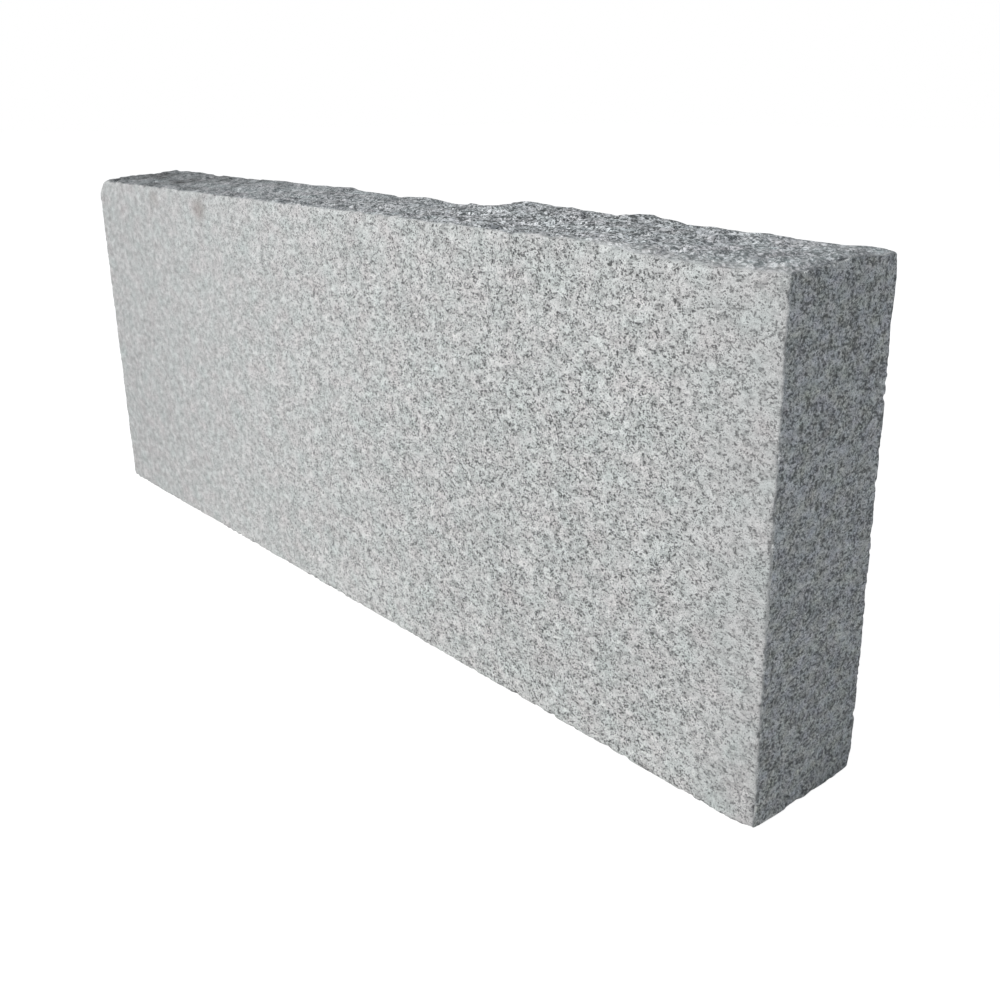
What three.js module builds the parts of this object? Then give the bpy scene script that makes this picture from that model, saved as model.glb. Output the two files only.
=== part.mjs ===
// Granite kerb stone, one piece: a slab sawn to thickness, cut to length and split along its top.
// Millimetres, +Z up. The stone stands on its bed, runs along X and shows its dressed front to -Y.
// The origin is the middle of the bed.
//
// The stone is built as courses, closed rings of points round it at one level each. The courses are
// joined from the bed up to the split, and the bed and the split close the two ends.
import * as THREE from 'three';
import { ImprovedNoise } from 'three/addons/math/ImprovedNoise.js';
import { mergeVertices } from 'three/addons/utils/BufferGeometryUtils.js';

// Overall sizes
const LENGTH = 716;
const THICKNESS = 80;
const HEIGHT = 264; // bed to the line scored along the front, where the split starts

// The split top starts true on the scored line and wanders more towards the back.
const SPLIT_CLIMB = 3.1; // from the front to the back
const SWELL = { pitch: 47, depth: 1.5 };
const RIPPLE = { pitch: 17, depth: 1.3 };
const TRUE_AT_LINE = 0.3; // share of the swell and ripple that is left on the scored line

// Knobs (rise over 0) and hollows (rise under 0) of the split: where they are along the stone from its
// middle and back from its front, how far they reach each way, and how high they stand.
const SCARS = [
  { along: -350, back: 58, reachAlong: 40, reachBack: 24, rise: 2.4 },
  { along: -262, back: 30, reachAlong: 60, reachBack: 16, rise: -1.6 },
  { along: -186, back: 72, reachAlong: 32, reachBack: 26, rise: 1.4 },
  { along: -120, back: 26, reachAlong: 44, reachBack: 14, rise: -2.2 },
  { along: -82, back: 78, reachAlong: 13, reachBack: 20, rise: 2.8 },
  { along: -56, back: 72, reachAlong: 26, reachBack: 26, rise: -1.6 },
  { along: 20, back: 76, reachAlong: 50, reachBack: 30, rise: -2.1 },
  { along: 12, back: 22, reachAlong: 38, reachBack: 12, rise: -2.6 },
  { along: 8, back: 70, reachAlong: 15, reachBack: 16, rise: 1.3 },
  { along: 70, back: 66, reachAlong: 26, reachBack: 26, rise: -1.9 },
  { along: 116, back: 70, reachAlong: 17, reachBack: 24, rise: 3.2 },
  { along: 146, back: 74, reachAlong: 15, reachBack: 22, rise: 1.8 },
  { along: 172, back: 24, reachAlong: 34, reachBack: 14, rise: -2.4 },
  { along: 207, back: 70, reachAlong: 13, reachBack: 22, rise: 2.5 },
  { along: 232, back: 34, reachAlong: 20, reachBack: 16, rise: 1.2 },
  { along: 239, back: 78, reachAlong: 12, reachBack: 26, rise: -2 },
  { along: 270, back: 78, reachAlong: 10, reachBack: 22, rise: -1.5 },
  { along: 293, back: 76, reachAlong: 9, reachBack: 22, rise: 1 },
  { along: 314, back: 72, reachAlong: 46, reachBack: 44, rise: -4 },
  { along: 342, back: 74, reachAlong: 8, reachBack: 20, rise: 1 },
  { along: 358, back: 72, reachAlong: 12, reachBack: 30, rise: -2.8 },
  { along: 312, back: 4, reachAlong: 46, reachBack: 16, rise: -2.8 },
];

// Arrises are nearly sharp, with a small chip here and there.
const ARRIS_WEAR = 0.7;
const CHIP = { pitch: 13, depth: 2.6 };
const BRUISE = { from: 256, full: 282, wear: 2.6 }; // soft stretch of the scored line, along from the middle

// Corners knocked off: which corner, and how far the break runs from it along X, Y and Z. The one that
// runs far along Y is the arris under the right end, worn more and more towards its back.
const SPALLS = [
  { corner: [-1, -1, 1], run: [17, 8, 8] },
  { corner: [1, 1, -1], run: [2.2, 110, 2.2] },
  { corner: [1, 1, -1], run: [4, 6, 5] },
  { corner: [1, -1, -1], run: [4, 5, 4] },
  { corner: [1, 1, 1], run: [4, 5, 3] },
  { corner: [-1, 1, -1], run: [6, 5, 8] },
];

// How closely the surface is followed
const TOP_CELL = 6.4; // on the split
const BED_CELL = 12; // on the arrises of the bed
const SIDE_CELL = 45; // along the flat sides between them
const COURSE_PITCH = 22;
const SHOULDER = 12; // between the outermost side courses and the bed or the scored line

// The four sides in the order that a course goes round them, anticlockwise from above. Each looks along
// its normal, and its row of points runs along its run.
const SIDES = [
  { normal: [0, -1], run: [1, 0] },
  { normal: [1, 0], run: [0, 1] },
  { normal: [0, 1], run: [-1, 0] },
  { normal: [-1, 0], run: [0, -1] },
];
const [FRONT, RIGHT, BACK, LEFT] = [0, 1, 2, 3];

const perlin = new ImprovedNoise();

function waves({ pitch, depth }, x, y, z) {
  return depth * perlin.noise(x / pitch, y / pitch, z / pitch);
}

function scar({ along, back, reachAlong, reachBack, rise }, x, y) {
  const far = ((x - along) / reachAlong) ** 2 + ((y + THICKNESS / 2 - back) / reachBack) ** 2;
  return rise * Math.exp(-far);
}

// Height of the split surface above a point of the plan.
function splitHeight(x, y) {
  const backShare = THREE.MathUtils.clamp(y / THICKNESS + 0.5, 0, 1);
  const freedom = THREE.MathUtils.lerp(TRUE_AT_LINE, 1, backShare);
  const undulation = waves(SWELL, x, y, 0) + waves(RIPPLE, x, y, SWELL.pitch);
  const scars = SCARS.reduce((sum, each) => sum + scar(each, x, y), 0);
  return HEIGHT + SPLIT_CLIMB * backShare + freedom * undulation + scars;
}

// How much is worn off an arris at a point of it.
function wearAt(x, y, z) {
  return ARRIS_WEAR + Math.max(0, waves(CHIP, x, y, z));
}

function splitWearAt(x, y) {
  const onScoredLine = y < 0 ? THREE.MathUtils.smoothstep(x, BRUISE.from, BRUISE.full) : 0;
  return wearAt(x, y, HEIGHT) + BRUISE.wear * onScoredLine;
}

function halfAcross(side) {
  return side.normal[0] === 0 ? THICKNESS / 2 : LENGTH / 2;
}

function halfAlong(side) {
  return side.run[0] === 0 ? THICKNESS / 2 : LENGTH / 2;
}

// A point in plan: so far out along the side's normal and so far along its run.
function inPlan(side, out, along) {
  return [0, 1].map((axis) => side.normal[axis] * out + side.run[axis] * along);
}

// One row of a course on one side. inset(x, y) is how far the row stands in from the side, height(x, y)
// is its level, and the row stops short of both upright arrises by their wear.
function rowOn(side, cell, inset, height) {
  const cells = Math.max(2, Math.round((2 * halfAlong(side)) / cell));
  return Array.from({ length: cells + 1 }, (_, step) => {
    const edge = inPlan(side, halfAcross(side), THREE.MathUtils.lerp(-1, 1, step / cells) * halfAlong(side));
    const corner = inPlan(side, halfAcross(side), (step < cells / 2 ? -1 : 1) * halfAlong(side));
    const reach = halfAlong(side) - wearAt(...corner, height(...corner)) - inset(...corner);
    const along = THREE.MathUtils.lerp(-reach, reach, step / cells);
    const place = inPlan(side, halfAcross(side) - inset(...edge), along);
    return new THREE.Vector3(...place, height(...place));
  });
}

// A course is its four rows. Neighbouring rows end the wear of an arris apart, which bevels the arris.
function course(cell, inset, height) {
  return SIDES.map((side) => rowOn(side, cell, inset, height));
}

// Triangles between two rows that run the same way, the first one lower or to the right of the run.
function join(first, second, corners) {
  let i = 0;
  let j = 0;
  while (i + 1 < first.length || j + 1 < second.length) {
    const firstNext = (i + 1) / (first.length - 1);
    const secondNext = (j + 1) / (second.length - 1);
    if (firstNext <= secondNext) {
      corners.push(first[i], first[i + 1], second[j]);
      i += 1;
    } else {
      corners.push(first[i], second[j + 1], second[j]);
      j += 1;
    }
  }
}

function joinCourses(lower, upper, corners) {
  SIDES.forEach((side, here) => {
    const next = (here + 1) % SIDES.length;
    join(lower[here], upper[here], corners);
    join([lower[here].at(-1), lower[next][0]], [upper[here].at(-1), upper[next][0]], corners);
  });
}

// Rows from the front of a course to its back, each from the left to the right, that fill its inside.
function rowsAcross(ring, height) {
  const left = [...ring[LEFT]].reverse();
  const right = ring[RIGHT];
  const steps = ring[FRONT].length - 1;
  const inner = left.map((from, row) =>
    Array.from({ length: steps + 1 }, (_, step) => {
      if (step === 0) return from;
      if (step === steps) return right[row];
      const place = new THREE.Vector3().lerpVectors(from, right[row], step / steps);
      return place.setZ(height(place.x, place.y));
    }),
  );
  return [ring[FRONT], ...inner, [...ring[BACK]].reverse()];
}

function closeTop(ring, height, corners) {
  const rows = rowsAcross(ring, height);
  rows.slice(1).forEach((row, before) => join(rows[before], row, corners));
}

function closeBed(ring, corners) {
  const rows = rowsAcross(ring, () => 0);
  rows.slice(1).forEach((row, before) => join(row, rows[before], corners));
}

// Breaks a corner off: what lies past the plane of the break is pressed back onto it.
function breakOff({ corner, run }, points) {
  const tip = new THREE.Vector3(corner[0] * LENGTH, corner[1] * THICKNESS, 0).divideScalar(2);
  if (corner[2] > 0) tip.setZ(splitHeight(tip.x, tip.y));
  const normal = new THREE.Vector3(...corner).divide(new THREE.Vector3(...run)).normalize();
  const start = tip.clone().sub(new THREE.Vector3(corner[0] * run[0], 0, 0));
  const face = new THREE.Plane().setFromNormalAndCoplanarPoint(normal, start);
  for (const point of points) {
    const past = face.distanceToPoint(point);
    if (past > 0) point.addScaledVector(normal, -past);
  }
}

function kerbStoneGeometry() {
  const corners = [];
  const flush = () => 0;
  const bedWear = (x, y) => wearAt(x, y, 0);
  const bedRing = course(BED_CELL, bedWear, flush);
  const splitRing = course(TOP_CELL, splitWearAt, splitHeight);
  const gaps = Math.round((HEIGHT - 2 * SHOULDER) / COURSE_PITCH);
  const rings = [bedRing, course(BED_CELL, flush, bedWear)];
  for (let number = 0; number <= gaps; number += 1) {
    const level = THREE.MathUtils.lerp(SHOULDER, HEIGHT - SHOULDER, number / gaps);
    rings.push(course(SIDE_CELL, flush, () => level));
  }
  rings.push(course(TOP_CELL, flush, (x, y) => splitHeight(x, y) - splitWearAt(x, y)));
  rings.push(splitRing);

  closeBed(bedRing, corners);
  rings.slice(1).forEach((ring, below) => joinCourses(rings[below], ring, corners));
  closeTop(splitRing, splitHeight, corners);
  SPALLS.forEach((spall) => breakOff(spall, new Set(corners)));

  const loose = new THREE.BufferGeometry().setFromPoints(corners);
  const closed = mergeVertices(loose);
  closed.computeVertexNormals();
  return closed;
}

const granite = new THREE.MeshStandardMaterial({ color: '#b9bdbc', roughness: 0.9, metalness: 0 });
granite.name = 'grey granite';

const kerbStone = new THREE.Mesh(kerbStoneGeometry(), granite);
kerbStone.name = 'kerb_stone';

const group = new THREE.Group();
group.name = 'granite kerb stone';
group.add(kerbStone);

export default group;
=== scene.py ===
"""A granite kerb stone: one block, sawn to thickness, cut to length and split along its top.

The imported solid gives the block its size, its flats, its worn arrises and the long swell of its
split. This script lays a fine skin over that solid, cuts the small relief of each surface into the
skin and dresses it in grey granite. Lengths are in metres, except where a docstring says otherwise.
"""

import logging
import math
from dataclasses import dataclass
from enum import Enum
from typing import Any, Optional, Union

import bmesh
import bpy
from mathutils import Matrix, Vector


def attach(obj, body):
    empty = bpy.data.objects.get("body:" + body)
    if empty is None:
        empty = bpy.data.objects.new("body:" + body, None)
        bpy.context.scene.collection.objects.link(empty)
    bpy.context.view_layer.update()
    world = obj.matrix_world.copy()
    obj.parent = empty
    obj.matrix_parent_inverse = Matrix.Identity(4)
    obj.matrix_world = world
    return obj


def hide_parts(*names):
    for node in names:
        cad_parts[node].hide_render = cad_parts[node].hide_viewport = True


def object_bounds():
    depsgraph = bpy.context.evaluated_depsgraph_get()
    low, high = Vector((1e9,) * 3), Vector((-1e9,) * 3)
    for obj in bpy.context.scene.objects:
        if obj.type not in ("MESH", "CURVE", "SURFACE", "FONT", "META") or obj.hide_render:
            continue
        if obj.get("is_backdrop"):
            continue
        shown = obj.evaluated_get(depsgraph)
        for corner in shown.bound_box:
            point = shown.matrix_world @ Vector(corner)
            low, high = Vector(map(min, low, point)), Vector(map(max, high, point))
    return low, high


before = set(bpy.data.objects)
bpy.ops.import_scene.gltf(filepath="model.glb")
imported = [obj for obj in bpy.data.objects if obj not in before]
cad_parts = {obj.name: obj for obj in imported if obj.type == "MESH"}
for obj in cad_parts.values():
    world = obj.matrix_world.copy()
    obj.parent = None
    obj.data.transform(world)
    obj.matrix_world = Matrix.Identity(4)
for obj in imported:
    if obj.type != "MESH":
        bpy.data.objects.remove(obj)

LOG = logging.getLogger("kerb stone")
MM = 0.001
# A noise runs from 0 to 1, with its middle here.
MIDDLE = 0.5
# A face looks along an axis when its normal goes further along it than this.
MOSTLY = 0.5
BAKE_MAP = "OFBake"

Colour = tuple[float, float, float]
Operand = Union["Wire", float]


class Surface(Enum):
    """The kinds of surface on the stone, by the name of the attribute that marks each one."""

    SPLIT = "split surface"
    END = "cut end"
    ARRIS = "worn arris"


class Wire:
    """An output socket that Python's own operators work on.

    Each operator adds one Math node to the tree that the socket belongs to.
    """

    def __init__(self, tree: "Tree", socket: bpy.types.NodeSocket) -> None:
        """Wraps a socket.

        Args:
            tree: The tree that holds the socket's node.
            socket: The output socket.
        """
        self.tree = tree
        self.socket = socket

    def __add__(self, other: Operand) -> "Wire":
        """Returns self + other."""
        return self.tree.maths("ADD", self, other)

    def __radd__(self, other: Operand) -> "Wire":
        """Returns other + self."""
        return self.tree.maths("ADD", other, self)

    def __sub__(self, other: Operand) -> "Wire":
        """Returns self - other."""
        return self.tree.maths("SUBTRACT", self, other)

    def __rsub__(self, other: Operand) -> "Wire":
        """Returns other - self."""
        return self.tree.maths("SUBTRACT", other, self)

    def __mul__(self, other: Operand) -> "Wire":
        """Returns self * other."""
        return self.tree.maths("MULTIPLY", self, other)

    def __rmul__(self, other: Operand) -> "Wire":
        """Returns other * self."""
        return self.tree.maths("MULTIPLY", other, self)

    def __truediv__(self, other: Operand) -> "Wire":
        """Returns self / other."""
        return self.tree.maths("DIVIDE", self, other)

    def __rtruediv__(self, other: Operand) -> "Wire":
        """Returns other / self."""
        return self.tree.maths("DIVIDE", other, self)

    def __neg__(self) -> "Wire":
        """Returns -self."""
        return self.tree.maths("MULTIPLY", self, -1.0)

    def __abs__(self) -> "Wire":
        """Returns the size of self without its sign."""
        return self.tree.maths("ABSOLUTE", self)

    def __gt__(self, other: Operand) -> "Wire":
        """Returns 1 where self is over other, and 0 elsewhere."""
        return self.tree.maths("GREATER_THAN", self, other)

    def __lt__(self, other: Operand) -> "Wire":
        """Returns 1 where self is under other, and 0 elsewhere."""
        return self.tree.maths("LESS_THAN", self, other)


class Made:
    """A node that has been added, whose outputs are read by name."""

    def __init__(self, tree: "Tree", node: bpy.types.Node) -> None:
        """Wraps a node.

        Args:
            tree: The tree that holds the node.
            node: The node.
        """
        self.tree = tree
        self.node = node

    def __getitem__(self, name: str) -> Wire:
        """Returns the output of that name."""
        return Wire(self.tree, pick(self.node.outputs, name))

    @property
    def out(self) -> Wire:
        """The node's first output that is in use."""
        return Wire(self.tree, next(each for each in self.node.outputs if each.enabled))


def pick(sockets: Any, name: str) -> bpy.types.NodeSocket:
    """Finds a socket by name among those that a node has in use.

    Args:
        sockets: The node's inputs or outputs.
        name: The socket's name.

    Returns:
        The first socket of that name that is enabled.
    """
    return next(each for each in sockets if each.enabled and each.name == name)


class Tree:
    """A node tree, for a material or for geometry, and the one way that nodes are added to it."""

    def __init__(self, nodes: bpy.types.NodeTree) -> None:
        """Wraps an empty node tree."""
        self.nodes = nodes

    def add(
        self, kind: str, settings: Optional[dict] = None, sockets: Optional[dict] = None
    ) -> Made:
        """Adds one node.

        Args:
            kind: The node's type.
            settings: The node's own settings by name, which are set before its sockets.
            sockets: Values or wires for its inputs by name. Where a node has several inputs of one
                name, such as a Math node, the name is the input's number.

        Returns:
            The node that was added.
        """
        node = self.nodes.nodes.new(kind)
        for name, value in (settings or {}).items():
            setattr(node, name, value)
        for name, value in (sockets or {}).items():
            socket = node.inputs[name] if isinstance(name, int) else pick(node.inputs, name)
            if isinstance(value, Wire):
                self.nodes.links.new(value.socket, socket)
            else:
                socket.default_value = value
        return Made(self, node)

    def maths(self, operation: str, *operands: Operand) -> Wire:
        """Adds a Math node over its operands, in order, and returns its result."""
        return self.add("ShaderNodeMath", {"operation": operation}, dict(enumerate(operands))).out

    def smaller(self, first: Operand, second: Operand) -> Wire:
        """Returns the smaller of two numbers."""
        return self.maths("MINIMUM", first, second)

    def larger(self, first: Operand, second: Operand) -> Wire:
        """Returns the larger of two numbers."""
        return self.maths("MAXIMUM", first, second)

    def measured(self, operation: str, result: str, *operands: Any) -> Wire:
        """Adds a Vector Math node.

        Args:
            operation: What the node works out.
            result: The output that is read, which is Vector or Value.
            operands: The node's inputs, in order.

        Returns:
            The result.
        """
        node = self.add("ShaderNodeVectorMath", {"operation": operation}, dict(enumerate(operands)))
        return node[result]

    def vectors(self, operation: str, *operands: Any) -> Wire:
        """Adds a Vector Math node over its operands, in order, and returns its vector."""
        return self.measured(operation, "Vector", *operands)

    def scaled(self, vector: Wire, factor: Operand) -> Wire:
        """Returns a vector times a number."""
        sockets = {"Vector": vector, "Scale": factor}
        return self.add("ShaderNodeVectorMath", {"operation": "SCALE"}, sockets)["Vector"]

    def split(self, vector: Wire) -> tuple[Wire, Wire, Wire]:
        """Returns the three parts of a vector."""
        parts = self.add("ShaderNodeSeparateXYZ", sockets={"Vector": vector})
        return parts["X"], parts["Y"], parts["Z"]

    def vector(self, x: Operand, y: Operand, z: Operand) -> Wire:
        """Returns the vector of three numbers."""
        return self.add("ShaderNodeCombineXYZ", sockets={"X": x, "Y": y, "Z": z}).out

    def ramp(
        self, value: Wire, start: Operand, end: Operand, low: Operand = 0.0, high: Operand = 1.0
    ) -> Wire:
        """Turns a number smoothly from one level to another.

        Args:
            value: The number that is read.
            start: Where the turn starts.
            end: Where it ends.
            low: The level up to the start.
            high: The level from the end.

        Returns:
            The level.
        """
        sockets = {"Value": value, "From Min": start, "From Max": end, "To Min": low, "To Max": high}
        return self.add("ShaderNodeMapRange", {"interpolation_type": "SMOOTHSTEP"}, sockets).out

    def mixed(self, factor: Operand, first: Any, second: Any) -> Wire:
        """Mixes two colours.

        Args:
            factor: The share of the second colour.
            first: The first colour.
            second: The second colour.

        Returns:
            The mixed colour.
        """
        sockets = {"Factor": factor, "A": opaque(first), "B": opaque(second)}
        return self.add("ShaderNodeMix", {"data_type": "RGBA"}, sockets)["Result"]

    def noise(self, place: Wire, pitch: Operand, detail: float = 2.0, rough: float = 0.5) -> Made:
        """Adds a noise.

        Args:
            place: The point that is read.
            pitch: The size of its lumps.
            detail: How many finer layers it has.
            rough: How strong the finer layers are.

        Returns:
            The noise, from 0 to 1.
        """
        sockets = {"Vector": place, "Scale": 1.0 / pitch, "Detail": detail, "Roughness": rough}
        return self.add("ShaderNodeTexNoise", {"noise_dimensions": "3D"}, sockets)

    def swing(self, place: Wire, pitch: Operand, detail: float = 2.0, rough: float = 0.5) -> Wire:
        """Returns the noise of those sizes less its middle, so that it swings about nought."""
        return self.noise(place, pitch, detail, rough).out - MIDDLE

    def cells(self, place: Wire, pitch: Operand, feature: str = "F1") -> Made:
        """Adds a pattern of cells of one pitch, round random points."""
        settings = {"voronoi_dimensions": "3D", "feature": feature}
        return self.add("ShaderNodeTexVoronoi", settings, {"Vector": place, "Scale": 1.0 / pitch})

    def warped(self, place: Wire, pitch: Operand, depth: Operand) -> Wire:
        """Sways a point to and fro, so that what is drawn there has no straight edge.

        Args:
            place: The point.
            pitch: How far apart the turns of the sway are.
            depth: How far it swings from side to side.

        Returns:
            The point that is read instead.
        """
        sway = self.vectors("SUBTRACT", self.noise(place, pitch)["Color"], (MIDDLE,) * 3)
        return self.vectors("ADD", place, self.scaled(sway, depth))

    def facets(self, place: Wire, pitch: Operand, tilt: Operand, step: Operand) -> Wire:
        """Makes broken facets, each a plane that tilts its own way.

        Args:
            place: The point that is read.
            pitch: How wide the facets are.
            tilt: How steeply the facets tilt, as a slope that none of them reaches.
            step: The largest step between the middles of two facets.

        Returns:
            The height, which swings about nought.
        """
        cell = self.cells(place, pitch)
        own = self.vectors("SUBTRACT", cell["Color"], (MIDDLE,) * 3)
        across = self.vectors("SUBTRACT", place, cell["Position"])
        dip = self.measured("DOT_PRODUCT", "Value", own, across)
        return dip * tilt + self.split(own)[2] * step


def opaque(colour: Any) -> Any:
    """Returns a plain colour with its alpha, or a wire as it is."""
    return colour if isinstance(colour, Wire) else (*colour, 1.0)


def outward(azimuth: float, elevation: float) -> Vector:
    """Points away from the stone.

    Args:
        azimuth: The turn round it from its front towards its right end, in degrees.
        elevation: The climb over level, in degrees.

    Returns:
        The unit vector.
    """
    turn, climb = math.radians(azimuth), math.radians(elevation)
    return Vector((math.sin(turn) * math.cos(climb), -math.cos(turn) * math.cos(climb), math.sin(climb)))


@dataclass
class Block:
    """The plain box that the skin is cut from. Its cells shrink towards the split and the arrises."""

    length: float
    thickness: float
    height: float
    first_cell: float = 18 * MM
    split_cell: float = 1.2 * MM
    end_cell: float = 2.5 * MM
    front_cell: float = 5 * MM
    hidden_cell: float = 10 * MM
    arris_cell: float = 1.4 * MM
    growth: float = 0.35

    def cell_at(self, face: bmesh.types.BMFace) -> float:
        """Gives the largest cell that the skin may have at a face.

        Args:
            face: A face of the box.

        Returns:
            The length of the cell's side.
        """
        place = face.calc_center_median()
        normal = face.normal
        from_end = self.length / 2 - abs(place.x)
        from_side = self.thickness / 2 - abs(place.y)
        if normal.z > MOSTLY:
            return self.split_cell
        if normal.z < -MOSTLY:
            flat, from_arris = self.hidden_cell, min(from_end, from_side)
        elif abs(normal.x) > MOSTLY:
            flat, from_arris = self.end_cell, min(from_side, place.z)
        else:
            flat = self.front_cell if normal.y < 0 else self.hidden_cell
            from_arris = min(from_end, place.z)
        near_arris = self.arris_cell + self.growth * from_arris
        near_split = self.split_cell + self.growth * (self.height - place.z)
        return min(flat, near_arris, near_split)

    def build(self) -> bpy.types.Mesh:
        """Cuts the box into cells, then halves each cell that is too large until none is.

        Returns:
            The mesh of the box, which stands on its bed.
        """
        shape = bmesh.new()
        bmesh.ops.create_cube(shape, size=1.0)
        extents = (self.length, self.thickness, self.height)
        stretched = Matrix.Diagonal((*extents, 1.0))
        shape.transform(Matrix.Translation((0.0, 0.0, self.height / 2)) @ stretched)
        for axis, extent in enumerate(extents):
            spans = {edge: edge.verts[0].co[axis] - edge.verts[1].co[axis] for edge in shape.edges}
            along = [edge for edge, span in spans.items() if abs(span) > MM]
            cuts = round(extent / self.first_cell) - 1
            bmesh.ops.subdivide_edges(shape, edges=along, cuts=cuts, use_grid_fill=True)
        for _ in range(math.ceil(math.log2(self.first_cell / self.split_cell))):
            bmesh.ops.triangulate(shape, faces=[face for face in shape.faces if len(face.verts) > 4])
            large = [face for face in shape.faces if math.sqrt(face.calc_area()) > self.cell_at(face)]
            edges = list({edge for face in large for edge in face.edges})
            bmesh.ops.subdivide_edges(shape, edges=edges, cuts=1, use_grid_fill=True)
        mesh = bpy.data.meshes.new("block")
        shape.to_mesh(mesh)
        shape.free()
        return mesh


@dataclass(frozen=True)
class Facets:
    """Broken facets: how wide they are, how steeply they tilt and how high they step."""

    pitch: float
    tilt: float
    step: float


@dataclass(frozen=True)
class Lumps:
    """Soft lumps: how far apart they are and how far they swing from low to high."""

    pitch: float
    depth: float


@dataclass(frozen=True)
class Trend:
    """Something that comes in over a stretch: where it starts and is full, and how much there is then."""

    start: float
    full: float
    share: float = 1.0


class SkinTree(Tree):
    """The geometry nodes that seat the block's cells on the solid and cut the relief into them.

    Each size is a named input of the tree. The values are kept in order to be set on the modifier.
    """

    def __init__(self, name: str) -> None:
        """Starts the tree with its geometry going in and out.

        Args:
            name: The tree's name.
        """
        super().__init__(bpy.data.node_groups.new(name, "GeometryNodeTree"))
        self.nodes.interface.new_socket("Block", in_out="INPUT", socket_type="NodeSocketGeometry")
        self.nodes.interface.new_socket("Stone", in_out="OUTPUT", socket_type="NodeSocketGeometry")
        self.group = self.add("NodeGroupInput")
        self.values: dict[str, Any] = {}
        self.shape = self.group["Block"]

    def inlet(self, name: str, kind: str, value: Any) -> Wire:
        """Adds a named input.

        Args:
            name: The input's name.
            kind: The type of its socket.
            value: What the modifier sets it to.

        Returns:
            The input, to be wired on.
        """
        socket = self.nodes.interface.new_socket(name, in_out="INPUT", socket_type=f"NodeSocket{kind}")
        self.values[socket.identifier] = value
        return self.group[name]

    def size(self, name: str, value: float) -> Wire:
        """Adds a named input for a size, and returns it."""
        return self.inlet(name, "Float", value)

    def move(self, place: Optional[Wire] = None, offset: Optional[Wire] = None) -> None:
        """Moves the skin's points.

        Args:
            place: Where each point goes, if it is given.
            offset: How far each point is shifted, if it is given.
        """
        sockets = {"Geometry": self.shape, "Position": place, "Offset": offset}
        given = {name: wire for name, wire in sockets.items() if wire is not None}
        self.shape = self.add("GeometryNodeSetPosition", sockets=given).out

    def mark(self, name: str, value: Wire, kind: str = "FLOAT", domain: str = "POINT") -> None:
        """Stores a value on the skin.

        Args:
            name: The name of the attribute.
            value: The value.
            kind: The attribute's type of data.
            domain: What carries it.
        """
        settings = {"data_type": kind, "domain": domain}
        sockets = {"Geometry": self.shape, "Name": name, "Value": value}
        self.shape = self.add("GeometryNodeStoreNamedAttribute", settings, sockets).out

    def marked(self, name: str) -> Wire:
        """Reads a number that was stored on the skin."""
        number = {"data_type": "FLOAT"}
        return self.add("GeometryNodeInputNamedAttribute", number, {"Name": name})["Attribute"]

    def place(self) -> Wire:
        """Reads where each point is."""
        return self.add("GeometryNodeInputPosition").out

    def facing(self) -> Wire:
        """Reads the way that the skin faces."""
        return self.add("GeometryNodeInputNormal")["Normal"]

    def blurred(self, value: Wire, rounds: Operand, weight: Operand = 1.0) -> Wire:
        """Evens a vector out between neighbouring points.

        Args:
            value: The vector.
            rounds: How many times it is evened out.
            weight: How freely each point takes part.

        Returns:
            The even vector.
        """
        sockets = {"Value": value, "Iterations": rounds, "Weight": weight}
        return self.add("GeometryNodeBlurAttribute", {"data_type": "FLOAT_VECTOR"}, sockets).out

    def lumps(self, place: Wire, layer: Lumps, name: str) -> Wire:
        """Makes a layer of lumps.

        Args:
            place: The point that is read.
            layer: The sizes of the lumps.
            name: What the layer's inputs are called.

        Returns:
            The height, which swings about nought.
        """
        pitch = self.size(f"{name} Pitch", layer.pitch)
        depth = self.size(f"{name} Depth", layer.depth)
        return self.swing(place, pitch) * depth

    def broken(self, place: Wire, layer: Facets, name: str) -> Wire:
        """Makes a layer of broken facets.

        Args:
            place: The point that is read.
            layer: The sizes of the facets.
            name: What the layer's inputs are called.

        Returns:
            The height, which swings about nought.
        """
        pitch = self.size(f"{name} Pitch", layer.pitch)
        tilt = self.size(f"{name} Tilt", layer.tilt)
        step = self.size(f"{name} Step", layer.step)
        return self.facets(place, pitch, tilt, step)

    def finish(self, material: bpy.types.Material) -> None:
        """Smooths the shading, makes the result real and gives it its material.

        Args:
            material: The finish of the whole stone.
        """
        stone = self.inlet("Finish", "Material", material)
        smooth = self.add("GeometryNodeSetShadeSmooth", sockets={"Geometry": self.shape}).out
        real = self.add("GeometryNodeRealizeInstances", sockets={"Geometry": smooth}).out
        dressed = self.add("GeometryNodeSetMaterial", sockets={"Geometry": real, "Material": stone}).out
        self.add("NodeGroupOutput", sockets={"Stone": dressed})


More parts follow.
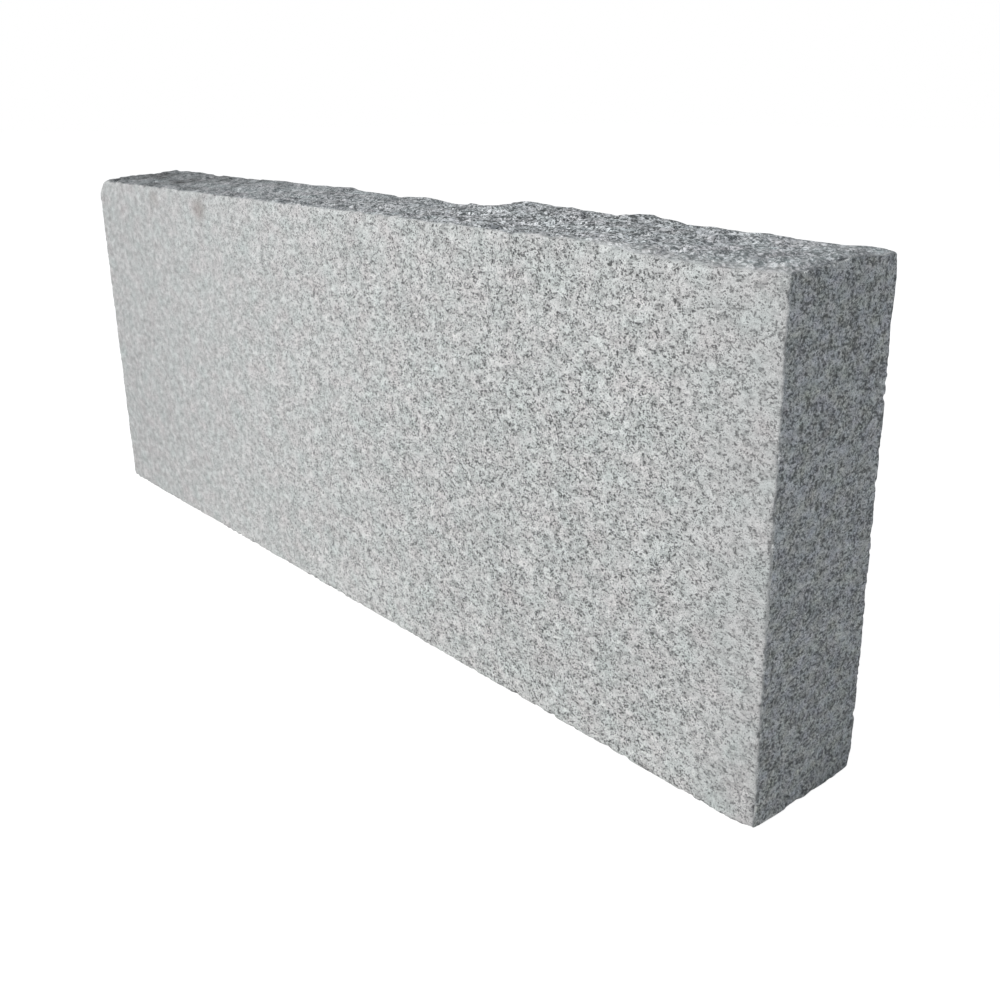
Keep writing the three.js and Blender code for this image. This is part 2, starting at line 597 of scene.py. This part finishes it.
@dataclass
class KerbStone:
    """The stone: its skin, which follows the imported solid, and the relief of each of its surfaces."""

    solid: bpy.types.Object
    low: Vector
    high: Vector

    # How each surface is marked, how the skin is seated on the solid, and how its relief is drawn.
    touch: float = 0.1 * MM
    soft_edge: float = 5 * MM
    edge_level: float = 0.15
    inner_level: float = 0.8
    arris_inset: float = 4.5 * MM
    facet_smoothing: int = 16
    seed: int = 7
    seed_step: tuple[float, float, float] = (0.31, 0.17, 0.53)
    warp: Lumps = Lumps(pitch=8 * MM, depth=4 * MM)

    # The split, which is calmer near its back edge.
    split_facets: Facets = Facets(pitch=18 * MM, tilt=0.2, step=0.15 * MM)
    split_steps: Facets = Facets(pitch=8 * MM, tilt=0.15, step=0.1 * MM)
    split_grain: Lumps = Lumps(pitch=5 * MM, depth=2.2 * MM)
    calm_edge: float = 14 * MM
    calm_share: float = 0.65

    # The cut ends.
    end_facets: Facets = Facets(pitch=9 * MM, tilt=0.16, step=0.3 * MM)
    end_grain: Lumps = Lumps(pitch=4 * MM, depth=1.0 * MM)
    end_depth: float = 0.4 * MM

    # The arrises, frayed all along and chipped where a noise is over its middle by the chip level.
    arris_rounds: int = 3
    arris: Trend = Trend(start=0.97, full=0.85)
    fray: Lumps = Lumps(pitch=4.5 * MM, depth=7 * MM)
    chips: Lumps = Lumps(pitch=8 * MM, depth=18 * MM)
    chip_level: float = 0.055

    # The foot of the right end and its front corner, where the arrises are worn more.
    foot: Lumps = Lumps(pitch=12 * MM, depth=20 * MM)
    foot_reach: float = 16 * MM
    corner_reach: float = 7 * MM
    corner_depth: float = 1.2 * MM

    # The top of the stone's back half, where the arrises stay nearly true.
    true_drop: Trend = Trend(start=60 * MM, full=30 * MM, share=0.85)
    true_back: Trend = Trend(start=-20 * MM, full=0.0)

    def lay_out(self, tree: SkinTree) -> None:
        """Unfolds the block's six sides side by side onto one square sheet.

        Args:
            tree: The skin's nodes.
        """
        length, thickness, height = self.high - self.low
        sheet = 2 * height + 3 * thickness
        x, y, z = tree.split(tree.place())
        along, back = x + length / 2, y + thickness / 2
        facing = {"data_type": "FLOAT_VECTOR", "domain": "FACE"}
        side = tree.add("GeometryNodeFieldOnDomain", facing, {"Value": tree.facing()}).out
        to_right, to_back, up = tree.split(side)
        corners = [
            (to_back < -MOSTLY, along, z, 0.0, 0.0),
            (to_back > MOSTLY, along, z, 0.0, height),
            (up > MOSTLY, along, back, 0.0, 2 * height),
            (up < -MOSTLY, along, back, 0.0, 2 * height + thickness),
            (to_right > MOSTLY, z, back, 0.0, 2 * height + 2 * thickness),
            (to_right < -MOSTLY, z, back, height, 2 * height + 2 * thickness),
        ]
        u, v = 0.0, 0.0
        for here, across, upward, start, level in corners:
            u = here * (across + start) + u
            v = here * (upward + level) + v
        tree.mark(BAKE_MAP, tree.vector(u / sheet, v / sheet, 0.0), "FLOAT2", "CORNER")

    def mark_surfaces(self, tree: SkinTree) -> None:
        """Marks the split top and the two ends, each fading out towards its arrises.

        Args:
            tree: The skin's nodes.
        """
        half_length, half_thickness = self.high.x, self.high.y
        x, y, z = tree.split(tree.place())
        edge = tree.size("Soft Edge", self.soft_edge)
        from_end = half_length - abs(x)
        from_side = half_thickness - abs(y)
        from_split = self.high.z - z
        within = tree.smaller(from_end, from_side)
        split = (from_split < self.touch) * tree.ramp(within, 0.0, edge, self.edge_level, 1.0)
        tree.mark(Surface.SPLIT.value, split)
        within = tree.smaller(from_side, tree.smaller(from_split, z))
        end = (from_end < self.touch) * tree.ramp(within, 0.0, edge, self.edge_level, 1.0)
        tree.mark(Surface.END.value, end)

    def seat(self, tree: SkinTree) -> None:
        """Brings the block's points onto the solid, and takes the solid's own facets out of the split.

        Args:
            tree: The skin's nodes.
        """
        inset = tree.size("Arris Inset", self.arris_inset)
        solid = tree.inlet("Solid", "Object", self.solid)
        unmoved = {"transform_space": "ORIGINAL"}
        target = tree.add("GeometryNodeObjectInfo", unmoved, {"Object": solid})["Geometry"]
        x, y, z = tree.split(tree.place())
        inner_x = tree.larger(tree.smaller(x, self.high.x - inset), inset - self.high.x)
        inner_y = tree.larger(tree.smaller(y, self.high.y - inset), inset - self.high.y)
        drop = {
            "Target Geometry": target,
            "Source Position": tree.vector(inner_x, inner_y, 2 * self.high.z),
            "Ray Direction": (0.0, 0.0, -1.0),
            "Ray Length": 2 * self.high.z,
        }
        top = tree.split(tree.add("GeometryNodeRaycast", sockets=drop)["Hit Position"])[2]
        tree.move(tree.vector(x, y, z * top / self.high.z))
        on_faces = {"target_element": "FACES"}
        tree.move(tree.add("GeometryNodeProximity", on_faces, {"Geometry": target})["Position"])
        rounds = tree.inlet("Facet Smoothing", "Int", self.facet_smoothing)
        inside = tree.ramp(tree.marked(Surface.SPLIT.value), self.edge_level, self.inner_level)
        tree.move(tree.blurred(tree.place(), rounds, inside))

    def break_split(self, tree: SkinTree, here: Wire, warped: Wire) -> None:
        """Breaks the split into facets and grain, which are calmer near its back edge.

        Args:
            tree: The skin's nodes.
            here: The point that the grain reads.
            warped: The point that the facets read.
        """
        broken = tree.broken(warped, self.split_facets, "Split Facet")
        broken = broken + tree.broken(warped, self.split_steps, "Split Step")
        broken = broken + tree.lumps(here, self.split_grain, "Split Grain")
        from_back = self.high.y - tree.split(tree.place())[1]
        calm = tree.ramp(from_back, tree.size("Calm Edge", self.calm_edge), 0.0, 0.0, self.calm_share)
        broken = broken * (1.0 - calm) * tree.marked(Surface.SPLIT.value)
        tree.move(offset=tree.blurred(tree.vector(0.0, 0.0, broken), rounds=1))

    def roughen_ends(self, tree: SkinTree, here: Wire, warped: Wire) -> None:
        """Sinks shallow cut marks and grain into both ends.

        Args:
            tree: The skin's nodes.
            here: The point that the grain reads.
            warped: The point that the facets read.
        """
        rough = tree.broken(warped, self.end_facets, "End Facet")
        rough = rough + tree.lumps(here, self.end_grain, "End Grain")
        sunk = tree.larger(rough + tree.size("End Depth", self.end_depth), 0.0)
        sunk = sunk * tree.marked(Surface.END.value)
        across = tree.split(tree.place())[0]
        tree.move(offset=tree.vector(-tree.maths("SIGN", across) * sunk, 0.0, 0.0))

    def frayed(self, tree: SkinTree, place: Wire, layer: Lumps, name: str) -> Wire:
        """Wears an arris unevenly.

        Args:
            tree: The skin's nodes.
            place: The point that is read.
            layer: How far apart the worn spots are and how deep they go.
            name: What the layer's inputs are called.

        Returns:
            How deep the arris is worn.
        """
        return tree.larger(tree.lumps(place, layer, name), 0.0)

    def chipped(self, tree: SkinTree, here: Wire) -> Wire:
        """Works out how deep an arris is chipped, which is most along the foot of the right end.

        Args:
            tree: The skin's nodes.
            here: The point that the chips read.

        Returns:
            The depth.
        """
        chip_pitch = tree.size("Chip Pitch", self.chips.pitch)
        chip_depth = tree.size("Chip Depth", self.chips.depth)
        level = tree.size("Chip Threshold", MIDDLE + self.chip_level)
        bite = tree.larger(tree.noise(here, chip_pitch).out - level, 0.0) * chip_depth
        bite = bite + self.frayed(tree, here, self.fray, "Fray")
        across, back, up = tree.split(tree.place())
        reach = tree.size("Foot Reach", self.foot_reach)
        foot = tree.ramp(across, self.high.x - reach, self.high.x) * tree.ramp(up, reach, 0.0)
        bite = bite + self.frayed(tree, here, self.foot, "Foot") * foot
        far = tree.measured("DISTANCE", "Value", tree.place(), (self.high.x, self.low.y, self.low.z))
        corner_reach = tree.size("Corner Reach", self.corner_reach)
        corner_depth = tree.size("Corner Depth", self.corner_depth)
        bite = bite + tree.ramp(far, corner_reach, 0.0, 0.0, corner_depth)
        top, drop = self.high.z, self.true_drop
        near_top = tree.ramp(up, top - drop.start, top - drop.full)
        near_back = tree.ramp(back, self.true_back.start, self.true_back.full)
        return bite * (1.0 - near_top * near_back * drop.share)

    def cut_relief(self, tree: SkinTree) -> None:
        """Breaks the split, roughens the ends and chips the arrises, none of it higher than the solid.

        Args:
            tree: The skin's nodes.
        """
        seed = tree.inlet("Seed", "Int", self.seed)
        here = tree.vectors("ADD", tree.place(), tree.scaled(tree.vector(*self.seed_step), seed))
        warp_pitch = tree.size("Warp Pitch", self.warp.pitch)
        warp_depth = tree.size("Warp Depth", self.warp.depth)
        warped = tree.warped(here, warp_pitch, warp_depth)
        self.break_split(tree, here, warped)
        self.roughen_ends(tree, here, warped)

        even = tree.blurred(tree.facing(), self.arris_rounds)
        length = tree.measured("LENGTH", "Value", even)
        tree.mark(Surface.ARRIS.value, tree.ramp(length, self.arris.start, self.arris.full))
        depth = self.chipped(tree, here) * tree.marked(Surface.ARRIS.value)
        tree.move(offset=tree.scaled(even, -depth))

        x, y, z = tree.split(tree.place())
        tree.move(tree.vector(x, y, tree.smaller(z, self.high.z)))

    def build(self, finish: bpy.types.Material) -> bpy.types.Object:
        """Makes the skin as one plain mesh.

        Args:
            finish: The material of the stone.

        Returns:
            The finished piece.
        """
        size = self.high - self.low
        carrier = bpy.data.objects.new("stone", Block(*size).build())
        bpy.context.scene.collection.objects.link(carrier)
        tree = SkinTree("stone skin")
        self.lay_out(tree)
        self.mark_surfaces(tree)
        self.seat(tree)
        self.cut_relief(tree)
        tree.finish(finish)
        skin = carrier.modifiers.new("skin", "NODES")
        skin.node_group = tree.nodes
        for identifier, value in tree.values.items():
            skin[identifier] = value
        seen = carrier.evaluated_get(bpy.context.evaluated_depsgraph_get())
        mesh = bpy.data.meshes.new_from_object(seen)
        carrier.modifiers.remove(skin)
        carrier.data = mesh
        mesh.name = "stone"
        return carrier


@dataclass(frozen=True)
class Specks:
    """Dark grains: their pitch, the levels of noise at which they start and are full, and how dark then."""

    pitch: float
    start: float
    full: float
    share: float


@dataclass(frozen=True)
class Stain:
    """A rust stain: the middle of it, how far it reaches and how strong it is."""

    middle: tuple[float, float, float]
    reach: float
    strength: float


@dataclass(frozen=True)
class Granite:
    """Light grey granite: pale feldspar crystals with quartz between them and specks of black mica.

    Places, pitches, widths and reaches are in millimetres, and so are the depths of the sway, of the
    crushed edge and of the relief. The colours are linear. The rest are shares and plain factors.
    """

    name: str = "grey granite"
    roughness: float = 0.82

    # How strongly a surface is marked where its own look starts and is full.
    mark: Trend = Trend(start=0.05, full=0.3)

    # How strong the finer layers of a harsh noise are.
    harshness: float = 0.6

    # The lie of the grain: its rift, how it sways, and how it is drawn out where the stone split.
    rift: float = 1.3
    warp: Lumps = Lumps(pitch=2.4, depth=0.6)
    draw_along: tuple[float, float, float] = (-0.74, 0.673, 0.0)
    draw_share: float = 0.5

    # The pale minerals.
    feldspar: Colour = (0.70, 0.703, 0.684)
    milky_feldspar: Colour = (0.84, 0.844, 0.821)
    quartz: Colour = (0.38, 0.384, 0.376)
    crystal_pitch: float = 4.6
    quartz_pitch: float = 2.6
    quartz_level: Trend = Trend(start=0.48, full=0.72, share=0.75)

    # The dark grains, which run together where they are crowded and keep off the clean crystals.
    mica: Colour = (0.10, 0.101, 0.099)
    specks: Specks = Specks(pitch=1.5, start=0.54, full=0.69, share=1.0)
    fine_specks: Specks = Specks(pitch=0.9, start=0.55, full=0.68, share=0.93)
    knots: Specks = Specks(pitch=3.2, start=0.665, full=0.77, share=0.75)
    knot_shift: tuple[float, float, float] = (31.0, 17.0, 5.0)
    clusters: Lumps = Lumps(pitch=5.0, depth=0.28)
    clean_crystal: Trend = Trend(start=0.74, full=0.80, share=0.07)
    fraying: float = 0.20
    cut_fraying: float = 0.20
    cut_broken: float = 0.5
    cut_fade: float = 0.14
    crowding: float = 0.008
    sharpness: float = 0.09
    split_coarseness: float = 0.15
    cut_coarseness: float = 0.35

    # How light or dark the colour is, as shares of it: of the grain, of patches, and of each surface, with
    # painted light and shade where it is marked.
    grain: Lumps = Lumps(pitch=0.9, depth=1.6)
    cut_grain: float = 0.35
    split_grain: float = -0.38
    # Painted shade on the cut ends: the light and dark of their small lumps and hollows.
    cut_lump_shade: Lumps = Lumps(pitch=3.0, depth=0.55)
    patches: Lumps = Lumps(pitch=24.0, depth=0.19)
    # On the split the patches are also painted shade: the light and dark of its swells, more towards the
    # left end.
    split_swell_shade: float = 0.5
    left_swell_shade: float = 1.1
    split_lift: float = 0.36
    grain_depth: float = 0.14
    # Painted shade: the split darker towards the left end.
    left_shade: float = 0.93
    cut_lift: float = 0.02
    cut_rise: Trend = Trend(start=20.0, full=260.0, share=0.14)
    flake_pitch: float = 3.8
    # Painted light and shade on the split: each flake a lighter or darker tone, as if its facet caught the
    # light, and painted shade in the seams.
    flake_light_and_shade: float = 0.15
    seam_width: float = 0.25
    seam_shade: float = 0.42

    # Tints, which are shifts of red where they are warm and of blue where they are cool.
    tint_pitch: float = 18.0
    pink_swing: float = 0.16
    pink_blue: float = 0.15
    cut_pink: float = -0.2
    cut_blue: float = 0.26
    cut_warm: float = -0.013
    fresh_warm: float = -0.014
    fresh_cool: float = 0.03
    grain_warm: float = -0.06

    # Stone dust on the crystals, and a stretch of painted light where the dust from the left end thins out.
    dust: Colour = (0.474, 0.476, 0.467)
    left_dust: Trend = Trend(start=205.0, full=-400.0, share=0.88)
    right_dust: Trend = Trend(start=285.0, full=350.0, share=0.27)
    split_dust: Trend = Trend(start=230.0, full=340.0, share=0.45)
    drifts: Lumps = Lumps(pitch=8.0, depth=1.1)
    dust_swing: float = 0.8
    left_middle_light: float = 0.40

    # The crushed crystals along the front edge of the split, a band that is also lifted by painted light,
    # as if lit like the front.
    front: float = -40.0
    bruise_waves: Lumps = Lumps(pitch=24.0, depth=4.0)
    bruise_level: Trend = Trend(start=0.42, full=0.68)
    bruise_least: float = 0.5
    bruise_fray: Lumps = Lumps(pitch=4.0, depth=8.0)
    bruise_core: float = 0.4
    bruise_fade: float = 0.4
    crush_and_light_lift: float = 0.12
    bruise_warm: float = 0.018
    shoulder: Trend = Trend(start=205.0, full=270.0, share=14.0)

    # Rust on the front.
    rust: Colour = (0.28, 0.228, 0.205)
    stain_ragged: float = 6.0
    stains: tuple[Stain, ...] = (
        Stain(middle=(-169.0, -40.0, 327.0), reach=18.0, strength=0.55),
        Stain(middle=(-247.0, -40.0, 331.0), reach=13.0, strength=0.35),
    )

    # The relief that is too fine for the skin.
    relief_depth: float = 0.35
    pit_pitch: float = 1.6
    flake_tilt: float = 0.38
    flake_step: float = 0.3
    swell: Lumps = Lumps(pitch=9.0, depth=4.0)
    cut_lumps: Lumps = Lumps(pitch=4.0, depth=2.4)

    def level(self, tree: Tree, value: Wire, trend: Trend) -> Wire:
        """Returns how much of a trend there is at a value."""
        return tree.ramp(value, trend.start, trend.full, 0.0, trend.share)

    def speckled(self, tree: Tree, place: Wire, specks: Specks, clusters: Wire, broken: Operand) -> Wire:
        """Scatters dark grains, which run together where they are crowded.

        Args:
            tree: The material's nodes.
            place: The point that is read, in millimetres.
            specks: The sizes of the grains.
            clusters: How crowded the place is, about nought.
            broken: How much of a broken surface the place is, where the grains are darker.

        Returns:
            How dark the place is, from 0 to 1.
        """
        swell = tree.noise(place, specks.pitch, detail=1.0).out + clusters + broken * self.crowding
        return tree.ramp(swell, specks.start, specks.full - broken * self.sharpness, 0.0, specks.share)

    def dusted(self, tree: Tree, along: Wire, split: Wire, end: Wire) -> tuple[Wire, Wire]:
        """Finds how much stone dust veils the crystals, more towards both ends of the stone.

        Args:
            tree: The material's nodes.
            along: How far along the stone the place is, in millimetres.
            split: How much of a split surface the place is.
            end: How much of a cut end it is.

        Returns:
            The share of the dust that comes from the left end, and that of all the dust.
        """
        left = self.level(tree, along, self.left_dust)
        right = self.level(tree, along, self.right_dust)
        top = self.level(tree, along, self.split_dust)
        return left, left + tree.larger(right, top * split) * (1.0 - end)

    def crushed_and_lit(self, tree: Tree, here: Wire, split: Wire) -> Wire:
        """Finds the crushed crystals along the front edge of the split, a band that is also painted lighter
        as painted light.

        Args:
            tree: The material's nodes.
            here: The point of the stone, in millimetres.
            split: How much of a split surface the place is.

        Returns:
            How far the place is in that band, from 0 to 1.
        """
        along, back, _ = tree.split(here)
        waves = tree.noise(tree.vector(along, 0.0, 0.0), self.bruise_waves.pitch, detail=1.0).out
        reach = self.level(tree, waves, self.bruise_level) * self.bruise_waves.depth
        reach = reach + self.level(tree, along, self.shoulder) + self.bruise_least
        frayed = back - self.front + tree.swing(here, self.bruise_fray.pitch) * self.bruise_fray.depth
        return tree.ramp(frayed, reach, reach * self.bruise_core) * split

    def stained(self, tree: Tree, here: Wire, colour: Wire) -> Wire:
        """Lays rust stains on the front.

        Args:
            tree: The material's nodes.
            here: The point of the stone, in millimetres.
            colour: The colour of the clean stone.

        Returns:
            The colour with the stains.
        """
        ragged = tree.warped(here, self.stain_ragged, self.stain_ragged)
        for stain in self.stains:
            far = tree.measured("DISTANCE", "Value", ragged, stain.middle)
            colour = tree.mixed(tree.ramp(far, stain.reach, 0.0, 0.0, stain.strength), colour, self.rust)
        return colour

    def coloured(self, tree: Tree, here: Wire, place: Wire, split: Wire, end: Wire) -> Wire:
        """Lays out the minerals.

        Args:
            tree: The material's nodes.
            here: The point of the stone, in millimetres.
            place: The same point, swayed.
            split: How much of a split surface the place is.
            end: How much of a cut end it is.

        Returns:
            The colour.
        """
        along, _, up = tree.split(here)
        crystal, clean, _ = tree.split(tree.cells(place, self.crystal_pitch)["Color"])
        gathered = tree.swing(here, self.clusters.pitch)
        clusters = gathered * self.clusters.depth - self.level(tree, clean, self.clean_crystal)
        grey = tree.noise(place, self.quartz_pitch, detail=1.0).out + clusters
        colour = tree.mixed(crystal, self.feldspar, self.milky_feldspar)
        colour = tree.mixed(self.level(tree, grey, self.quartz_level), colour, self.quartz)

        coarse = tree.scaled(place, 1.0 - split * self.split_coarseness - end * self.cut_coarseness)
        fine = tree.swing(place, self.grain.pitch, detail=1.0, rough=self.harshness)
        clusters = clusters + fine * (self.fraying + end * self.cut_fraying)
        broken = split + end * self.cut_broken
        large = self.speckled(tree, coarse, self.specks, clusters, broken)
        small = self.speckled(tree, coarse, self.fine_specks, clusters, broken)
        aside = tree.vectors("ADD", place, self.knot_shift)
        knots = self.speckled(tree, aside, self.knots, fine * self.fraying, 0.0)
        crushed_lit_band = self.crushed_and_lit(tree, here, split)
        left, veil = self.dusted(tree, along, split, end)
        faded = (1.0 - crushed_lit_band * self.bruise_fade) * (1.0 - end * self.cut_fade)
        dark = tree.larger(tree.larger(large, small), knots) * faded
        colour = tree.mixed(veil, tree.mixed(dark, colour, self.mica), self.dust)

        fine = fine * self.grain.depth * (1.0 + end * self.cut_grain + split * self.split_grain)
        shade = 1.0 + fine * (1.0 - veil)
        # Painted shade of the ends' small lumps.
        lump_shade = tree.swing(place, self.cut_lump_shade.pitch, rough=self.harshness)
        # Patches of the stone's own tone, and on the split painted shade of its swells as well.
        patch = tree.swing(here, self.patches.pitch)
        tone_and_swell_shade = self.patches.depth + split * (self.split_swell_shade + left * self.left_swell_shade)
        shade = shade + lump_shade * (end * self.cut_lump_shade.depth) + patch * tone_and_swell_shade
        drifted = tree.swing(here, self.drifts.pitch) * self.drifts.depth
        shade = shade - (gathered * self.dust_swing - drifted) * left
        # Painted light: the stone lifted where the dust from the left end is half full.
        shade = shade + left * (1.0 - left) * self.left_middle_light
        # The split's own lift and darker grains, less painted shade towards the left end.
        shade = shade + split * (self.split_lift - left * self.left_shade - dark * self.grain_depth)
        shade = shade + end * (self.cut_lift + self.level(tree, up, self.cut_rise))
        # The crushed band: paler crystals, and painted light as if the band were lit like the front.
        shade = shade + crushed_lit_band * self.crush_and_light_lift
        # Painted light and shade of the split's flakes and painted shade in the seams between them.
        painted_flakes = split * (1.0 - left)
        flake_light = tree.split(tree.cells(place, self.flake_pitch)["Color"])[2]
        seam_shadow = tree.cells(place, self.flake_pitch, "DISTANCE_TO_EDGE")["Distance"]
        seam_shadow = tree.ramp(seam_shadow, self.seam_width, 0.0)
        shade = shade + (flake_light - MIDDLE) * (painted_flakes * self.flake_light_and_shade)
        shade = shade * (1.0 - seam_shadow * painted_flakes * self.seam_shade)

        red, green, _ = tree.split(tree.noise(tree.scaled(here, 1.0 + end), self.tint_pitch)["Color"])
        pink = (red - MIDDLE) * (self.pink_swing * (1.0 + end * self.cut_pink))
        blue = (green - MIDDLE) * (end * self.cut_blue)
        crushed = crushed_lit_band * self.bruise_warm
        warm = 1.0 + pink + split * self.fresh_warm + crushed + end * self.cut_warm
        warm = warm + dark * broken * self.grain_warm
        cool = 1.0 + pink * self.pink_blue + blue + split * self.fresh_cool - crushed
        colour = tree.vectors("MULTIPLY", colour, tree.vector(shade * warm, shade, shade * cool))
        return self.stained(tree, here, colour)

    def relieved(self, tree: Tree, here: Wire, sawn: Wire, torn: Wire, split: Wire, end: Wire) -> Wire:
        """Cuts pits all over, flakes and swells into the split and lumps into the cut ends.

        Args:
            tree: The material's nodes.
            here: The point of the stone, in millimetres.
            sawn: The same point, swayed.
            torn: The same point, drawn out and swayed.
            split: How much of a split surface the place is.
            end: How much of a cut end it is.

        Returns:
            The way that the relief faces.
        """
        pits = tree.noise(here, self.pit_pitch, detail=3.0, rough=self.harshness).out
        flakes = tree.facets(torn, self.flake_pitch, self.flake_tilt, self.flake_step)
        swell = tree.swing(torn, self.swell.pitch) * self.swell.depth
        lumps = tree.swing(sawn, self.cut_lumps.pitch) * end * self.cut_lumps.depth
        relief = pits + ((flakes + swell) * split + lumps) / self.relief_depth
        sockets = {"Height": relief, "Distance": self.relief_depth * MM}
        return tree.add("ShaderNodeBump", sockets=sockets)["Normal"]

    def build(self) -> bpy.types.Material:
        """Makes the material.

        Returns:
            The granite.
        """
        material = bpy.data.materials.new(self.name)
        material.use_nodes = True
        material.node_tree.nodes.clear()
        tree = Tree(material.node_tree)
        split, end = (
            self.level(tree, tree.add("ShaderNodeAttribute", {"attribute_name": name})["Fac"], self.mark)
            for name in (Surface.SPLIT.value, Surface.END.value)
        )
        flat = (1 / MM, 1 / MM, self.rift / MM)
        here = tree.vectors("MULTIPLY", tree.add("ShaderNodeTexCoord")["Object"], flat)
        drawn = tree.measured("DOT_PRODUCT", "Value", here, self.draw_along)
        shift = tree.scaled(tree.vector(*self.draw_along), drawn * -self.draw_share)
        sawn = tree.warped(here, self.warp.pitch, self.warp.depth)
        torn = tree.warped(tree.vectors("ADD", here, shift), self.warp.pitch, self.warp.depth)
        place = tree.vectors("ADD", sawn, tree.scaled(tree.vectors("SUBTRACT", torn, sawn), split))
        surface = tree.add("ShaderNodeBsdfPrincipled", sockets={
            "Base Color": self.coloured(tree, here, place, split, end),
            "Roughness": self.roughness,
            "Normal": self.relieved(tree, here, sawn, torn, split, end),
        })
        tree.add("ShaderNodeOutputMaterial", sockets={"Surface": surface["BSDF"]})
        return material


@dataclass(frozen=True)
class Viewpoint:
    """The camera: its place, its turn and climb in degrees, and its lens and sensor in millimetres."""

    place: Vector = Vector((618.6, -402.1, 323.8)) * MM
    azimuth: float = 47.738
    elevation: float = 18.231
    lens: float = 39.655
    sensor: float = 36.0
    shift_across: float = -0.0553
    shift_up: float = -0.0316
    nearest: float = 10 * MM

    def build(self) -> bpy.types.Object:
        """Sets the camera up, level, and makes it the scene's camera.

        Returns:
            The camera.
        """
        back = outward(self.azimuth, self.elevation)
        level = Vector((0.0, 0.0, 1.0)).cross(back).normalized()
        optics = bpy.data.cameras.new("camera")
        optics.sensor_fit = "HORIZONTAL"
        optics.sensor_width = self.sensor
        optics.lens = self.lens
        optics.shift_x = self.shift_across
        optics.shift_y = self.shift_up
        optics.clip_start = self.nearest
        camera = bpy.data.objects.new("camera", optics)
        bpy.context.scene.collection.objects.link(camera)
        turned = Matrix((level, back.cross(level), back)).transposed().to_4x4()
        camera.matrix_world = Matrix.Translation(self.place) @ turned
        bpy.context.scene.camera = camera
        return camera


@dataclass(frozen=True)
class Lamp:
    """A square lamp that is turned to the stone. Its place round the stone is in degrees."""

    name: str
    azimuth: float
    elevation: float
    power: float
    size: float = 2.2
    distance: float = 4.5
    aim: Vector = Vector((0.0, 0.0, 0.12))

    def hang(self) -> None:
        """Hangs the lamp in its place."""
        light = bpy.data.lights.new(self.name, "AREA")
        light.shape = "SQUARE"
        light.size = self.size
        light.energy = self.power
        lamp = bpy.data.objects.new(self.name, light)
        bpy.context.scene.collection.objects.link(lamp)
        towards = outward(self.azimuth, self.elevation)
        facing = towards.to_track_quat("Z", "Y").to_matrix().to_4x4()
        lamp.matrix_world = Matrix.Translation(self.aim + self.distance * towards) @ facing


@dataclass(frozen=True)
class Studio:
    """A pale floor in a white room, with a soft lamp to the front left and an even sky."""

    floor_size: float = 30.0
    floor_drop: float = 0.2 * MM
    floor_colour: Colour = (0.80, 0.80, 0.80)
    floor_shade: float = 0.25
    floor_glow: float = 0.97
    sky_colour: Colour = (0.87, 0.96, 1.10)
    sky_strength: float = 0.17
    key: Lamp = Lamp("key", azimuth=-14.0, elevation=38.0, power=146.5)

    def seen(self, tree: Tree) -> Wire:
        """Tells the rays that should see a white room from those that only carry light.

        Args:
            tree: The nodes of the floor or the sky.

        Returns:
            1 for a ray from the camera, or one that is reflected or let through, and 0 for others.
        """
        path = tree.add("ShaderNodeLightPath")
        bent = tree.larger(path["Is Glossy Ray"], path["Is Transmission Ray"])
        return tree.larger(path["Is Camera Ray"], bent)

    def lay_floor(self) -> None:
        """Lays the floor, which looks white and keeps the stone's shadow."""
        half = self.floor_size / 2
        mesh = bpy.data.meshes.new("floor")
        outline = ((-half, -half), (half, -half), (half, half), (-half, half))
        mesh.from_pydata([(x, y, -self.floor_drop) for x, y in outline], [], [(0, 1, 2, 3)])
        floor = bpy.data.objects.new("floor", mesh)
        bpy.context.scene.collection.objects.link(floor)
        material = bpy.data.materials.new("pale floor")
        material.use_nodes = True
        material.node_tree.nodes.clear()
        tree = Tree(material.node_tree)
        plain = tree.add("ShaderNodeBsdfDiffuse", sockets={"Color": opaque(self.floor_colour)}).out
        shaded = tree.add("ShaderNodeBsdfDiffuse", sockets={"Color": opaque((self.floor_shade,) * 3)}).out
        glow = tree.add("ShaderNodeEmission", sockets={"Strength": self.floor_glow}).out
        white = tree.add("ShaderNodeAddShader", sockets={0: shaded, 1: glow}).out
        either = tree.add("ShaderNodeMixShader", sockets={0: self.seen(tree), 1: plain, 2: white}).out
        tree.add("ShaderNodeOutputMaterial", sockets={"Surface": either})
        mesh.materials.append(material)
        floor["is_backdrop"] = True

    def hang_sky(self) -> None:
        """Sets the even light that comes from everywhere, behind a white backdrop."""
        world = bpy.data.worlds.new("studio")
        world.use_nodes = True
        world.node_tree.nodes.clear()
        tree = Tree(world.node_tree)
        seen = self.seen(tree)
        colour = tree.mixed(seen, self.sky_colour, (1.0, 1.0, 1.0))
        strength = tree.ramp(seen, 0.0, 1.0, self.sky_strength, 1.0)
        sky = tree.add("ShaderNodeBackground", sockets={"Color": colour, "Strength": strength}).out
        tree.add("ShaderNodeOutputWorld", sockets={"Surface": sky})
        bpy.context.scene.world = world

    def build(self) -> None:
        """Builds the floor, the sky and the lamp."""
        self.lay_floor()
        self.hang_sky()
        self.key.hang()
        bpy.context.scene.view_settings.view_transform = "Standard"


def main() -> None:
    """Builds the stone, the studio and the camera, and reports the stone."""
    logging.basicConfig(level=logging.INFO, format="%(name)s: %(message)s")
    low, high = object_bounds()
    Viewpoint().build()
    Studio().build()
    stone = KerbStone(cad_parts["kerb_stone"], low, high).build(Granite().build())
    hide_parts("kerb_stone")
    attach(stone, "root")
    stone.data.calc_loop_triangles()
    LOG.info("%s: %d triangles, rides on root", stone.name, len(stone.data.loop_triangles))


if __name__ == "__main__":
    main()
